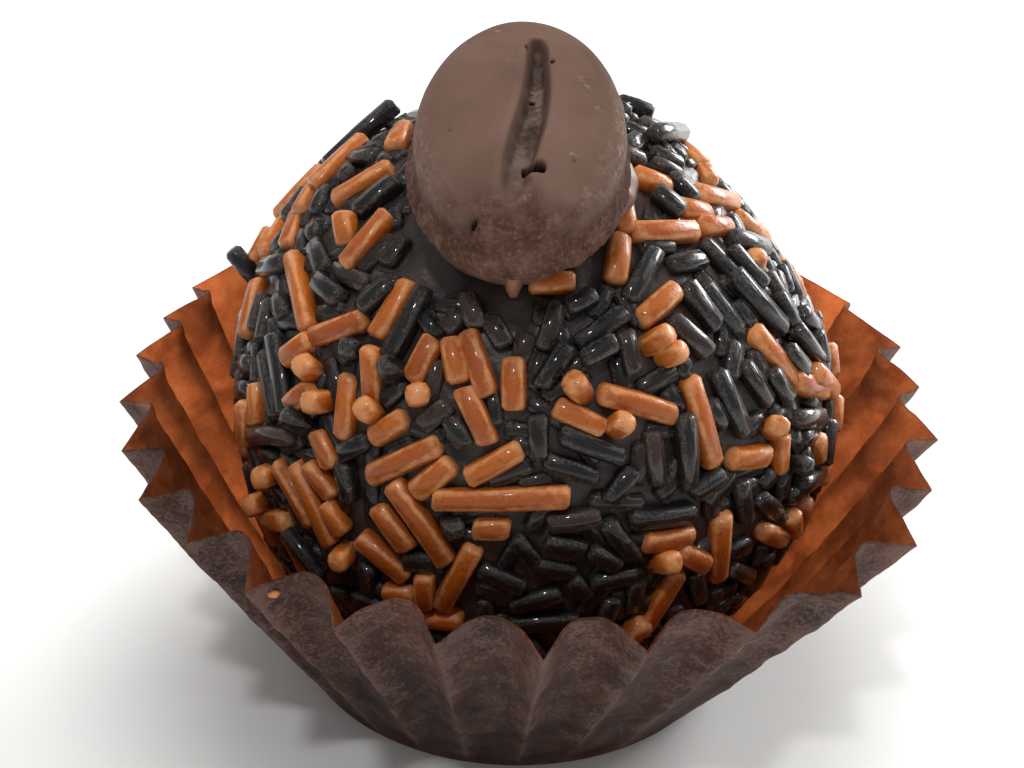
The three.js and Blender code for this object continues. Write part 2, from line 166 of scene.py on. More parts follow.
def skin(name, grid, uv=None, **values):
    """A mesh of one or more closed skins. grid is (skins, rows, columns, 3) in mm: columns run
    round each skin, and its first and last rows are each one point, the poles. uv has one column
    more, for the seam. values are stored on the points as attributes, in the grid's order."""
    grid = np.asarray(grid, float)
    grid = grid if grid.ndim == 4 else grid[None]
    skins, rows, cols = grid.shape[:3]
    inner = (rows - 2) * cols
    index = np.empty((rows, cols), int)
    index[0], index[-1] = inner, inner + 1
    index[1:-1] = np.arange(inner).reshape(rows - 2, cols)
    after = np.roll(index, -1, 1)
    quads = np.stack([index[1:-2], after[1:-2], after[2:-1], index[2:-1]], -1).reshape(-1, 4)
    tris = np.concatenate([np.stack([index[0], after[1], index[1]], -1),
                           np.stack([index[-2], after[-2], index[-1]], -1)])
    shift = (np.arange(skins) * (inner + 2))[:, None, None]

    def flat(of_grid):
        of_grid = np.asarray(of_grid, float).reshape((skins, rows, cols, -1))
        poles = np.stack([of_grid[:, 0, 0], of_grid[:, -1, 0]], 1)
        body = of_grid[:, 1:-1].reshape(skins, inner, -1)
        return np.concatenate([body, poles], 1).reshape(skins * (inner + 2), -1)

    mesh = bpy.data.meshes.new(name)
    all_quads = (quads[None] + shift).reshape(-1, 4)
    all_tris = (tris[None] + shift).reshape(-1, 3)
    mesh.from_pydata((flat(grid) * MM).tolist(), [], all_quads.tolist() + all_tris.tolist())
    for key, value in values.items():
        layer = mesh.attributes.new(key, "FLOAT", "POINT")
        spread = np.broadcast_to(np.asarray(value, float), grid.shape[:3])
        layer.data.foreach_set("value", flat(spread).astype(np.float32).ravel())
    if uv is not None:
        uv = np.asarray(uv, float).reshape(skins, rows, cols + 1, 2)
        low, high = uv[:, 1:-2], uv[:, 2:-1]
        quad_uv = np.stack([low[:, :, :-1], low[:, :, 1:], high[:, :, 1:], high[:, :, :-1]], 3)
        first = np.stack([uv[:, 0, :-1], uv[:, 1, 1:], uv[:, 1, :-1]], 2)
        last = np.stack([uv[:, -2, :-1], uv[:, -2, 1:], uv[:, -1, :-1]], 2)
        tri_uv = np.concatenate([first, last], 1)
        corners = np.concatenate([quad_uv.reshape(-1, 2), tri_uv.reshape(-1, 2)])
        mesh.uv_layers.new(name="UVMap").data.foreach_set("uv", corners.ravel())
    mesh.polygons.foreach_set("use_smooth", np.ones(len(mesh.polygons), bool))
    mesh.update()
    return add_object(name, mesh)


def linear(code):
    """An sRGB hex colour as linear RGBA: c/12.92 below 0.04045, else ((c+0.055)/1.055)^2.4."""
    shares = [int(code[k:k + 2], 16) / 255 for k in (1, 3, 5)]
    return [c / 12.92 if c < 0.04045 else ((c + 0.055) / 1.055) ** 2.4 for c in shares] + [1.0]


def node(tree, kind, inputs=None, stops=None, **settings):
    """Adds a shader node. settings are its properties, stops the (position, colour or grey) of a
    ramp, and inputs maps a socket's name or number to a value or to an output that feeds it."""
    made = tree.nodes.new("ShaderNode" + kind)
    for key, value in settings.items():
        setattr(made, key, value)
    for k, (at, colour) in enumerate(stops or []):
        ends = made.color_ramp.elements
        stop = ends[k] if k < 2 else ends.new(at)
        stop.position = at
        stop.color = linear(colour) if isinstance(colour, str) else (colour, colour, colour, 1)
    for key, value in (inputs or {}).items():
        if isinstance(value, bpy.types.NodeSocket):
            tree.links.new(value, made.inputs[key])
        else:
            made.inputs[key].default_value = value
    return made


def material(name):
    """An empty node material, its tree, and the place on the object for its textures."""
    made = bpy.data.materials.new(name)
    made.use_nodes = True
    made.node_tree.nodes.clear()
    return made, made.node_tree, node(made.node_tree, "TexCoord").outputs["Object"]


def noise(tree, at, size, detail, roughness=0.5, distortion=0.0):
    """Noise over the place at, in patches of about size mm."""
    return node(tree, "TexNoise", {"Vector": at, "Scale": 1 / (size * MM), "Detail": detail,
                                   "Roughness": roughness, "Distortion": distortion}).outputs["Fac"]


def ramp(tree, value, *stops):
    """The colour of a ramp through the stops, read at value."""
    return node(tree, "ValToRGB", {"Fac": value}, stops).outputs["Color"]


def mixed(tree, share, under, over):
    """The colour under, with a share of the colour over."""
    over = linear(over) if isinstance(over, str) else over
    return node(tree, "Mix", {"Factor": share, "A": under, "B": over}, data_type="RGBA").outputs[2]


def worked(tree, operation, *values):
    """The result of a math node."""
    return node(tree, "Math", dict(enumerate(values)), operation=operation).outputs[0]


def bump(tree, height, strength, distance, **under):
    """The normal over a relief distance mm high, with the Normal under it if there is one."""
    return node(tree, "Bump", {"Height": height, "Strength": strength, "Distance": distance * MM,
                               **under}).outputs["Normal"]


def stored(tree, name):
    """The value that the mesh's points store under name."""
    return node(tree, "Attribute", attribute_name=name).outputs["Fac"]


def dress(piece, look, tree, shader):
    """Ends a material's tree in the shader, and puts the material on the piece."""
    node(tree, "OutputMaterial", {"Surface": shader.outputs[0]})
    piece.data.materials.append(look)


def unit_ball(rows, cols):
    """Unit vectors in rows from the south pole to the north pole."""
    turn = np.linspace(0, 2 * np.pi, cols, endpoint=False)
    climb = np.linspace(-np.pi / 2, np.pi / 2, rows)[:, None]
    return np.stack(np.broadcast_arrays(np.cos(climb) * np.cos(turn), np.cos(climb) * np.sin(turn),
                                        np.sin(climb)), -1)


columns = np.arange(FLUTES * PER_FLUTE) / PER_FLUTE
columns = columns - 0.6 * np.sin(2 * np.pi * columns) / (2 * np.pi)  # closer together at a crease
rise = 1 - (1 - np.linspace(0, 1, WALL_ROWS)) ** 1.35  # closer together towards the rim
disc = np.array([3.0, 6.0, 8.5, 10.4, 11.4])  # radii of the rings in the base
around = FIRST_CREASE + 2 * np.pi * columns / FLUTES + np.radians(at_crease(STRAY, columns))
flat_ring = np.stack([np.cos(around), np.sin(around), np.zeros_like(around)], -1)
under = disc[:, None, None] * flat_ring
u_grid, v_grid = np.broadcast_arrays(columns, rise[:, None])
outside = case_in(u_grid, v_grid, 0.0)
inside = case_in(u_grid, v_grid, PAPER_THICK)
inside[0, :, 2] = PAPER_THICK
lip = case_in(u_grid[-1:], v_grid[-1:], PAPER_THICK / 2) + [0, 0, LIP]
floor_ring = under[::-1] + [0, 0, PAPER_THICK]
pole = np.zeros((1, columns.size, 3))
case_grid = np.concatenate([pole, under, outside, lip, inside[::-1], floor_ring,
                            pole + [0, 0, PAPER_THICK]])
base_v = np.zeros(1 + disc.size)  # the base's pole and rings are no way up the wall
rows_v = np.concatenate([base_v, rise, [1.0], rise[::-1], base_v])
# 1 along a crease, and 0 a fifth of a flute away
crease = 1 - np.minimum(columns - np.floor(columns), np.ceil(columns) - columns) * 5
rows_in = np.arange(rows_v.size) > base_v.size + WALL_ROWS
case = skin("paper_case", case_grid, crease=crease[None, None, :],
            height=rows_v[None, :, None], inner=rows_in[None, :, None])

# Greaseproof paper: matt, dyed dark brown, mottled where the wax is uneven, with pale flecks, more
# of them along the creases and at the rim. Light that comes through it turns orange, dimmer in
# cloudy patches, so a wall lit from behind glows.
paper, tree, place = material("greaseproof_paper")
mottle = noise(tree, place, 1.7, 4.0, 0.6)
scuff = noise(tree, place, 0.2, 3.0, 0.65)
brown = ramp(tree, mottle, (0.36, "#241c19"), (0.66, "#41312b"))
wear_and_edge_highlight = ramp(tree, stored(tree, "crease"), (0.2, 0.0), (0.7, 0.07), (1.0, 0.15))
edge = ramp(tree, stored(tree, "height"), (0.4, 0.0), (0.85, 0.08), (1.0, 0.12))
thin = worked(tree, "MULTIPLY_ADD", mottle, 0.5, scuff)
thin = worked(tree, "ADD", worked(tree, "ADD", thin, wear_and_edge_highlight), edge)
surface = mixed(tree, ramp(tree, thin, (0.8, 0.0), (0.98, 0.55)), brown, "#8d7369")
blotch = noise(tree, place, 1.6, 6.0, 0.65)
cloudy = ramp(tree, noise(tree, place, 3.2, 4.0, 0.6, 0.4), (0.46, 0.0), (0.66, 0.6))
through = ramp(tree, blotch, (0.32, "#c88c60"), (0.5, "#e9a87c"), (0.68, "#f9ba8c"))
relief = bump(tree, scuff, 0.35, 0.07, Normal=bump(tree, blotch, 0.4, 0.25))
sheet = node(tree, "BsdfPrincipled", {"Base Color": surface, "Roughness": 0.6,
                                      "Specular IOR Level": 0.35, "Normal": relief})
glow = node(tree, "BsdfTranslucent", {"Color": mixed(tree, cloudy, through, "#9a6446")})
# the share of the light that comes through: 0.3 at the outer face, 0.7 at the inner one
share = worked(tree, "MULTIPLY_ADD", stored(tree, "inner"), 0.4, 0.3)
dress(case, paper, tree,
      node(tree, "MixShader", {0: share, 1: sheet.outputs[0], 2: glow.outputs[0]}))
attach(case, "root")
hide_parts("paper_cup")


# ---- Fudge ball ---------------------------------------------------------------------------------
# Condensed milk, cocoa and butter, cooked to a soft dark fudge and rolled between buttered palms,
# which leaves it a little lopsided. It has settled flat where it stands on the case's bottom.
BALL = np.array([0.42, -0.2, 15.25])
BALL_R = 14.92
SEAT_Z = 0.75
# azimuth, elevation, spread (degrees) and height (mm) of each fuller or flatter place
DENTS = [(-112, 38, 26, 0.35), (84, 4, 24, 0.85), (100, 31, 17, -0.55), (-87, -6, 22, -0.45),
         (180, 70, 34, 0.35), (-112, 46, 12, 0.45), (134, 62, 12, 0.4), (113, 48, 9, -0.3)]


def direction(az, el):
    """The unit vector at an azimuth counted from the front (-Y) towards +X, and an elevation."""
    a, e = np.radians(az), np.radians(el)
    return np.stack([np.sin(a) * np.cos(e), -np.cos(a) * np.cos(e), np.sin(e)], -1)


def fudge_radius(n):
    """Distance from the middle of the ball to its surface along unit vectors n: the radius, plus
    height * exp(-(angle/spread)^2) for each dent, cut off level at the seat."""
    r = np.full(n.shape[:-1], BALL_R)
    for az, el, spread, height in DENTS:
        angle = np.arccos(np.clip(n @ direction(az, el), -1, 1))
        r = r + height * np.exp(-(angle / np.radians(spread)) ** 2)
    down = np.minimum(n[..., 2], -1e-6)
    return np.where(n[..., 2] < 0, np.minimum(r, (BALL[2] - SEAT_Z) / -down), r)


unit = unit_ball(120, 240)
lumps = 0.14 * ripple(unit * BALL_R, 2.6, 11) + 0.05 * ripple(unit * BALL_R, 0.9, 12)
# the lumps stop short of the seat
skin_r = fudge_radius(unit) + lumps * (unit[..., 2] > -0.85) - 0.03
fudge = skin("fudge_ball", BALL + unit * skin_r[..., None])

# Cooked fudge: very dark, buttery, so it takes a soft shine over a finely grained surface.
fudge_finish, tree, place = material("cocoa_fudge")
dark = ramp(tree, noise(tree, place, 2.4, 4.0), (0.4, "#302a28"), (0.68, "#473832"))
relief = bump(tree, noise(tree, place, 0.3, 4.0), 0.5, 0.12)
dress(fudge, fudge_finish, tree,
      node(tree, "BsdfPrincipled", {"Base Color": dark, "Roughness": 0.42, "Normal": relief}))
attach(fudge, "root")
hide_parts("truffle")


# ---- Chocolate coffee bean ----------------------------------------------------------------------
# Milk chocolate cast in a mould in the shape of a coffee bean, with the bean's S-shaped groove down
# its face. Air left bubbles and pits in it, and knocking it out has scuffed its side.
BEAN_TILT, BEAN_LEAN, BEAN_TURN = np.radians([20.5, 0.6, 2.2])
BEAN_OFF = 16.93  # its flat back, from the middle of the ball
BEAN_SHIFT = (-0.765, 0.14)  # across and along the bean
BEAN_A, BEAN_B = 5.17, 7.25
BEAN_EGG = 0.067  # how much narrower it is at its far end
BEAN_WALL = 2.3
BEAN_DOME = 2.45
BEAN_DRAFT = 0.935
GROOVE_DEEP = 0.95
GROOVE_FAR, GROOVE_LONG = 3.72, 9.65  # y of its far end, and its length
GROOVE_MID, GROOVE_SWING = 0.23, 0.4  # its middle line: mean x, and swing to each side
GROOVE_RIGHT = 0.33  # share of its length at which it swings furthest right
GAP = 0.3
# bubble holes in the face: x, y, radius across and along, depth (mm), and whether its inside is
# painted black as shade
PITS = [(0.9, -4.24, 0.3, 0.22, 1.3, 1), (0.42, -4.08, 0.15, 0.19, 1.3, 1),
        (0.5, -5.0, 0.22, 0.2, 0.15, 0), (-1.7, -6.3, 0.14, 0.07, 0.5, 1),
        (0.04, 3.13, 0.07, 0.07, 0.25, 1), (1.27, 2.12, 0.09, 0.1, 0.3, 1),
        (0.46, 0.18, 0.09, 0.09, 0.3, 1), (2.5, -3.6, 0.09, 0.08, 0.1, 0),
        (-3.1, -2.2, 0.08, 0.08, 0.1, 0), (2.9, 1.4, 0.07, 0.07, 0.08, 0),
        (-2.3, -6.0, 0.7, 0.4, 0.07, 0)]
# chips and smears that stand on the face: x, y, radius (mm)
CHIPS = [(-1.41, 4.48, 0.26), (-2.93, 3.81, 0.2), (-0.8, 1.94, 0.25), (-0.44, 1.88, 0.16),
         (2.67, 1.35, 0.3), (2.92, 0.89, 0.26), (3.42, -0.32, 0.3), (1.14, -2.54, 0.12),
         (2.47, -3.38, 0.2), (3.75, -2.9, 0.26), (3.18, -4.82, 0.45), (1.52, 0.68, 0.18),
         (0.5, 0.75, 0.2), (0.75, -0.25, 0.22), (-3.9, -3.2, 0.2), (0.46, -5.75, 0.3),
         (0.1, -6.7, 0.2), (1.2, -6.6, 0.16)]

bean_z = np.array([np.sin(BEAN_LEAN), -np.sin(BEAN_TILT), np.cos(BEAN_TILT)])
bean_z /= np.linalg.norm(bean_z)
bean_y0 = np.array([0, 1, 0]) - bean_z * bean_z[1]
bean_y0 /= np.linalg.norm(bean_y0)
bean_x0 = np.cross(bean_y0, bean_z)
bean_x = bean_x0 * np.cos(BEAN_TURN) - bean_y0 * np.sin(BEAN_TURN)
bean_y = bean_x0 * np.sin(BEAN_TURN) + bean_y0 * np.cos(BEAN_TURN)
bean_at = BALL + bean_z * BEAN_OFF + bean_x * BEAN_SHIFT[0] + bean_y * BEAN_SHIFT[1]
bean_axes = np.stack([bean_x, bean_y, bean_z])  # rows: local to row frame


def groove_depth(x, y):
    """Depth of the groove under the face at x, y, and the height of the soft lip round it. Its
    middle line swings as a cosine along the bean, slower at the far end; its two ends are round,
    the floor is hollow between sloped walls, and it runs out shallower towards the front."""
    t = (GROOVE_FAR - y) / GROOVE_LONG
    swing = np.pi / 0.72 * np.where(t < GROOVE_RIGHT, 0.62, 1)
    turned = swing * (t - GROOVE_RIGHT)
    middle = GROOVE_MID + GROOVE_SWING * np.cos(turned)
    off = (x - middle) / np.sqrt(1 + (GROOVE_SWING * swing / GROOVE_LONG * np.sin(turned)) ** 2)
    half = np.interp(t, [0, 0.2, 0.4, 0.6, 0.8, 0.9, 1], [0.56, 0.62, 0.74, 0.84, 0.8, 0.7, 0.55])
    half = half * np.sqrt(np.clip(1 - (np.abs(t - 0.5) / 0.51) ** 20, 0, 1))
    left = np.clip((off + half) / 0.52, 0, 1)
    right = np.clip((half - off) / 0.46, 0, 1)
    left, right = left * left * (3 - 2 * left), right * right * (3 - 2 * right)
    fade = np.interp(t, [0, 0.08, 0.7, 0.9, 1], [0.55, 1, 1, 0.55, 0.2])
    beside = np.exp(-((np.abs(off) - half - 0.22) / 0.2) ** 2)
    beside = beside * np.clip(1.2 - np.abs(t - 0.5) * 2, 0, 0.2)
    return GROOVE_DEEP * left * right * fade, 0.35 * beside


steps = np.linspace(0, 1, 120)
share = np.cos(steps * np.pi / 2)  # from the outline to the middle of the face
up_wall = np.linspace(0, 1, 12)
wall_r = np.concatenate([[0.3, 0.6, 0.85, 0.95, 0.98, 0.995],
                         BEAN_DRAFT + (1 - BEAN_DRAFT) * (1 - up_wall) ** 2])
wall_z = np.concatenate([[0, 0, 0, 0, 0.03, 0.12], 0.26 + (BEAN_WALL - 0.36) * up_wall])
profile_r = np.concatenate([[0], wall_r, BEAN_DRAFT * share])
profile_z = np.concatenate([[0], wall_z, BEAN_WALL + BEAN_DOME * np.sqrt(1 - share ** 2.5)])
side = np.concatenate([np.zeros(5), np.clip((2.6 - wall_z[4:]) / 1.2, 0, 1),
                       np.clip((share - 0.97) / 0.1, 0, 1)])
bean_turn = np.linspace(0, 2 * np.pi, 384, endpoint=False)
bean_px = profile_r[:, None] * np.cos(bean_turn)
bean_py = profile_r[:, None] * np.sin(bean_turn)
bean_px, bean_py = BEAN_A * bean_px * (1 - BEAN_EGG * bean_py), BEAN_B * bean_py
bean_pz = np.broadcast_to(profile_z[:, None], bean_px.shape).copy()
local = np.stack([bean_px, bean_py, bean_pz], -1)
face = (np.arange(len(profile_r)) > len(wall_r))[:, None]
groove, lip_high = groove_depth(bean_px, bean_py)
in_groove = np.clip(groove * face / GROOVE_DEEP, 0, 1)
drop = (groove - lip_high) * face + in_groove ** 2 * (
    0.045 * ripple(local, 0.9, 21) + 0.03 * ripple(local, 0.35, 22))
in_pit = np.zeros_like(drop)
for px, py, rx, ry, deep, black in PITS:
    reach = (np.abs((bean_px - px) / rx) ** 3 + np.abs((bean_py - py) / ry) ** 3) ** (1 / 3)
    hole = face / (1 + reach ** 10)
    drop = drop + deep * hole
    in_pit = np.maximum(in_pit, np.clip((1.3 - reach) / 0.2, 0, 1) * face * black)
# a chip is where 1 - distance/radius + an uneven swelling is over 0.2
ragged = 0.45 * ripple(local, 0.32, 27)
chip = np.zeros_like(drop)
for px, py, r in CHIPS:
    away = np.hypot(bean_px - px, bean_py - py) / r
    chip = np.maximum(chip, np.clip((1 - away + ragged * (away < 2) - 0.2) / 0.6, 0, 1) * face)
drop = drop - 0.07 * chip
# the edge between face and side is rubbed pale to the right, and a little to the left
edge_band = np.exp(-((bean_pz - BEAN_WALL - 0.45) / 0.8) ** 2) * (profile_r > 0.8)[:, None]
rub_at = np.exp(-(np.sin(bean_turn / 2 + 0.04) / 0.3) ** 2) + 0.5 * np.exp(
    -(np.sin((bean_turn - np.pi - 0.35) / 2) / 0.25) ** 2)
rub = edge_band * rub_at * np.clip(0.75 + 0.5 * ripple(local, 0.8, 29), 0, 1)
chip = np.maximum(0.4 * chip, rub)
local[..., 2] -= drop
out = np.stack([np.cos(bean_turn) / BEAN_A, np.sin(bean_turn) / BEAN_B,
                np.zeros_like(bean_turn)], -1)
out /= np.linalg.norm(out, axis=-1)[:, None]
# the front end is scuffed all the way up, and fades out on the face; its colour is painted darker
# there, partly as shade
front = np.clip((-bean_py - 4.9) / 1.6 + 0.25 * ripple(local, 1.6, 28), 0, 1)
scuffed = np.maximum(np.maximum(side[:, None], front), 0.8 * rub)
rough = (0.05 * ripple(local, 1.3, 23) + 0.03 * ripple(local, 0.5, 24)
         + 0.015 * ripple(local, 0.22, 25))
level_share = np.sqrt(1 - np.clip(share * 1.4 - 0.4, 0, 1))
level_share = np.concatenate([np.zeros(len(wall_r) + 1), level_share])
swell = (out[None] * (1 - level_share)[:, None, None]
         + np.array([0, 0, 0.8]) * level_share[:, None, None])
local += swell * (scuffed * rough)[..., None]
local[..., 2] += face * 0.03 * ripple(local, 4.0, 26)
bean = skin("coffee_bean_chocolate", bean_at + local @ bean_axes, scuffed=scuffed,
            groove=in_groove, pit=in_pit, chip=chip)

# Cast milk chocolate: satin where it lay against the polished mould, with a faint bloom. Its side
# and front end are scraped to a redder grain with open pores, painted darker there, partly as shade
# where they face down; the groove is greyer and painted darker as shade in its hollow, and stained;
# and the rubbed edge and the chips are dusted pale.
cast, tree, place = material("cast_milk_chocolate")
dust = noise(tree, place, 0.26, 5.0, 0.7)
stain = noise(tree, place, 1.1, 4.0, 0.6)
at_scuffed, at_groove = stored(tree, "scuffed"), stored(tree, "groove")
milk = ramp(tree, noise(tree, place, 2.6, 3.0), (0.3, "#674f44"), (0.7, "#755b50"))
# scraped tone: the chocolate's redder grain, painted darker partly as shade where it faces down
scraped_and_shaded = ramp(tree, stain, (0.34, "#482d25"), (0.5, "#5c3f34"), (0.66, "#6f544a"))
# groove tone: greyer, and painted darker as shade in the hollow
groove_grey_and_shade = ramp(tree, stain, (0.36, "#3d302b"), (0.5, "#53443d"), (0.64, "#6c5d55"))
tone = mixed(tree, at_groove, mixed(tree, at_scuffed, milk, scraped_and_shaded), groove_grey_and_shade)
half_groove = worked(tree, "MULTIPLY", at_groove, 0.45)
uneven_part = worked(tree, "MAXIMUM", at_scuffed, half_groove)
pores = worked(tree, "MULTIPLY", ramp(tree, dust, (0.3, 0.6), (0.44, 0.0)), uneven_part)
tone = mixed(tree, pores, tone, "#3b2a23")
specks = worked(tree, "MULTIPLY_ADD", uneven_part, 0.13, dust)
specks = ramp(tree, specks, (0.64, 0.0), (0.86, 0.35))
grainy = ramp(tree, dust, (0.42, 0.15), (0.6, 0.9))
rub_and_edge_highlight = worked(tree, "MULTIPLY_ADD", stored(tree, "chip"), grainy, specks)
tone = mixed(tree, rub_and_edge_highlight, tone, "#ab9282")
# the bubble holes painted black inside: painted shade
tone = mixed(tree, stored(tree, "pit"), tone, "#040302")
shine = node(tree, "Mix", {"Factor": at_scuffed, "A": 0.58, "B": 0.78})
rough_part = worked(tree, "MULTIPLY_ADD", at_scuffed, 0.8, half_groove)
small = bump(tree, noise(tree, place, 0.09, 2.0), 0.12, 0.05)
relief = bump(tree, dust, rough_part, 0.1, Normal=small)
dress(bean, cast, tree,
      node(tree, "BsdfPrincipled", {"Base Color": tone, "Roughness": shine.outputs[0],
                                    "Specular IOR Level": 0.14, "Normal": relief}))
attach(bean, "root")
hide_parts("coffee_bean")


# ---- Melted chocolate dab -----------------------------------------------------------------------
# A spoon of melted chocolate glues the bean to the fudge. It was pressed out from under the bean,
# further to the right and to the front, and a short drip ran down the front before it set.
def turn_from(a, at):
    """The angle from at to a, within half a turn either way."""
    return np.arctan2(np.sin(a - at), np.cos(a - at))


def drip_reach(a):
    """The blunt drip: height * exp(-(angle/width)^4)."""
    return 0.68 * np.exp(-(turn_from(a, -1.575) / 0.058) ** 4)


def dab_reach(a):
    """Reach of the dab's outline from the bean's middle at angle a: a round, plus a bell-shaped
    lobe to the right, one to the front, a low one left of it, a narrow drip, and a slight wave."""
    def lobe(at, wide, height):
        return height * np.exp(-(turn_from(a, at) / wide) ** 2)
    return (4.7 + lobe(0.25, 0.5, 0.85) + lobe(-1.65, 0.5, 0.95) + drip_reach(a)
            + lobe(-2.2, 0.4, 0.35) + 0.12 * np.sin(5 * a + 1))


dab_turn = np.linspace(0, 2 * np.pi, 240, endpoint=False)
dab_share = np.array([0, 0.3, 0.6, 0.85, 0.95, 0.985, 1.0, 0.99, 0.96, 0.91, 0.86, 0.81, 0.78,
                      0.5, 0])
dab_high = np.array([0, 0, 0, 0, 0.02, 0.08, 0.2, 0.34, 0.48, 0.62, 0.76, 0.9, 1, 1, 1])
reach = dab_reach(dab_turn) * dab_share[:, None] * 1.1
dab_top = (bean_at + reach[..., None] * (np.cos(dab_turn)[:, None] * bean_x
                                         + np.sin(dab_turn)[:, None] * bean_y) - bean_z * GAP)
dab_n = dab_top - BALL
dab_n /= np.linalg.norm(dab_n, axis=-1)[..., None]
dab_foot = BALL + dab_n * (fudge_radius(dab_n) + GAP)[..., None]
dab_grid = dab_foot + (dab_top - dab_foot) * dab_high[:, None, None]
edge_part = np.clip((dab_share - 0.7) / 0.2, 0, 1)[:, None]
dab_grid += dab_n * (edge_part * 0.06 * ripple(dab_grid, 1.2, 31))[..., None]
drip = drip_reach(dab_turn) * np.clip((dab_share[:, None] - 0.84) / 0.1, 0, 1)
dab = skin("melted_chocolate", dab_grid, drip=drip)

set_chocolate, tree, place = material("set_melted_chocolate")
cloud = noise(tree, place, 0.9, 4.0)
brown = ramp(tree, cloud, (0.35, "#5c4036"), (0.7, "#7a5a4a"))
brown = mixed(tree, stored(tree, "drip"), brown, "#a06b4a")
relief = bump(tree, cloud, 0.3, 0.15)
dress(dab, set_chocolate, tree,
      node(tree, "BsdfPrincipled", {"Base Color": brown, "Roughness": 0.42, "Normal": relief}))
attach(dab, "root")
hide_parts("chocolate_dab")


# ---- Sprinkle strands ---------------------------------------------------------------------------
# Sugar and fat, extruded as thin rods and broken short, in two kinds: a caramel one and a nearly
# black chocolate one. The fudge is rolled in a tray of both, so they lie pressed into it at all
# angles, the caramel ones in patches, some stood on end and a few lying over others.
STRAND_D = 1.24
STRAND_CAP = 0.36  # length of each rounded end, in diameters
STRAND_SUNK = 0.24  # how far the axis of a flat-lying strand stands off the fudge
STRAND_LOW = 0.66  # height over the table that every strand keeps above
SEED = 20
# azimuth, elevation, heading from level (degrees), length (mm), tip out of the surface (degrees)
CARAMEL = [
    (-4.5, 12.7, 5, 6.4), (-83, 23, 140, 3.2), (38, 62, 60, 2.3), (27, 54, 61, 2.6),
    (6, 51, 178, 2.2), (115, 54, 2, 2.8), (106, 53, 170, 3.6), (84, 53, 133, 3.6),
    (66, 56, 136, 2.2), (68, 51, 148, 2.3), (88, 43, 114, 2.6), (-54, 51, 90, 3.4),
    (-79, 57, 85, 3.3), (-103, 51, 150, 4.2), (-95, 45, 160, 3.1), (-106, 39, 122, 3.6),
    (-86, 40, 157, 2.6), (-97, 33, 160, 3.4), (-64, 36, 159, 5.2), (-46, 35, 37, 3.5),
    (-34, 42, 82, 3.1), (-64, 50, 135, 1.8, 30), (-37, 23, 101, 3.1), (-33, 30, 100, 2.7, 20),
    (-27, 22, 43, 2.1), (-23, 35, 75, 2.3), (-16, 36, 112, 2.2), (-11, 36, 115, 3.2),
    (-3, 33, 93, 2.5), (-10, 27, 120, 2.9), (-23, 17, 35, 4.1), (-17, 15, 46, 2.5),
    (-6, 19, 33, 3.0), (-19, 6, 129, 4.7), (-24, 4, 132, 2.6), (-6, 7, 3, 1.8), (-12, -4, 67, 4.4),
    (-26, -3, 148, 3.1), (-40, 14, 134, 2.0), (-42, 2, 126, 4.4), (-47, 2, 139, 3.6),
    (10, 27, 150, 2.6), (22, 28, 155, 4.0), (35, 22, 96, 4.5), (45, 12, 162, 2.7), (54, 9, 77, 2.0),
    (59, 26, 118, 4.2), (75, 13, 140, 4.4), (26, 2, 173, 2.7), (26, -13, 71, 4.4),
    (38, -4, 95, 4.1), (54, -9, 143, 3.6), (33, 44, 20, 2.8), (48, 56, 158, 3.8),
    (68, 16, 147, 4.0), (64, 65, 117, 2.0), (-48, 26, 60, 2.0, 65), (-43, 22, 10, 2.0, 80),
    (-31, 24, 60, 2.0, 75), (-22, 29, 20, 2.0, 70), (10, 32, 140, 2.0, 60), (17, 25, 60, 2.0, 70),
    (-34, -5, 30, 2.0, 75), (25, -2, 80, 2.2, 60),
]
CARAMEL_SMALL = [
    (-48, 21, 51, 2.0), (-53, 28, 52, 2.0), (-31, 51, 21, 1.8, 40), (-40, 8, 151, 2.2),
    (-36, 2, 133, 1.8), (-18, -8, 87, 2.2), (-55, 2, 30, 1.9, 65), (-60, -7, 40, 2.0, 65),
    (-54, -8, 27, 2.7), (-64, 12, 113, 2.2), (-15, -15, 9, 2.0), (-23, -10, 11, 1.7),
    (52, 15, 142, 1.7, 50), (68, 3, 100, 1.7), (76, -6, 56, 1.9), (81, 3, 58, 1.9),
    (61, -10, 125, 2.4), (31, -3, 140, 2.2), (29, 38, 13, 1.8, 60), (31, 35, 10, 1.6, 70),
    (41, 62, 35, 2.2), (125, 56, 46, 2.2), (116, 50, 53, 2.2), (70, 41, 122, 1.8, 50),
    (95, 25, 60, 2.0), (87, 11, 60, 1.8), (8, 52, 0, 2.2), (-98, 29, 120, 2.0), (-104, 64, 8, 3.0),
    (-66, 7, 100, 2.4), (-72, 2, 130, 2.8), (-63, -14, 120, 2.6), (20, -20, 60, 3.0),
    (-48, -14, 110, 2.6), (70, -14, 100, 2.4),
]
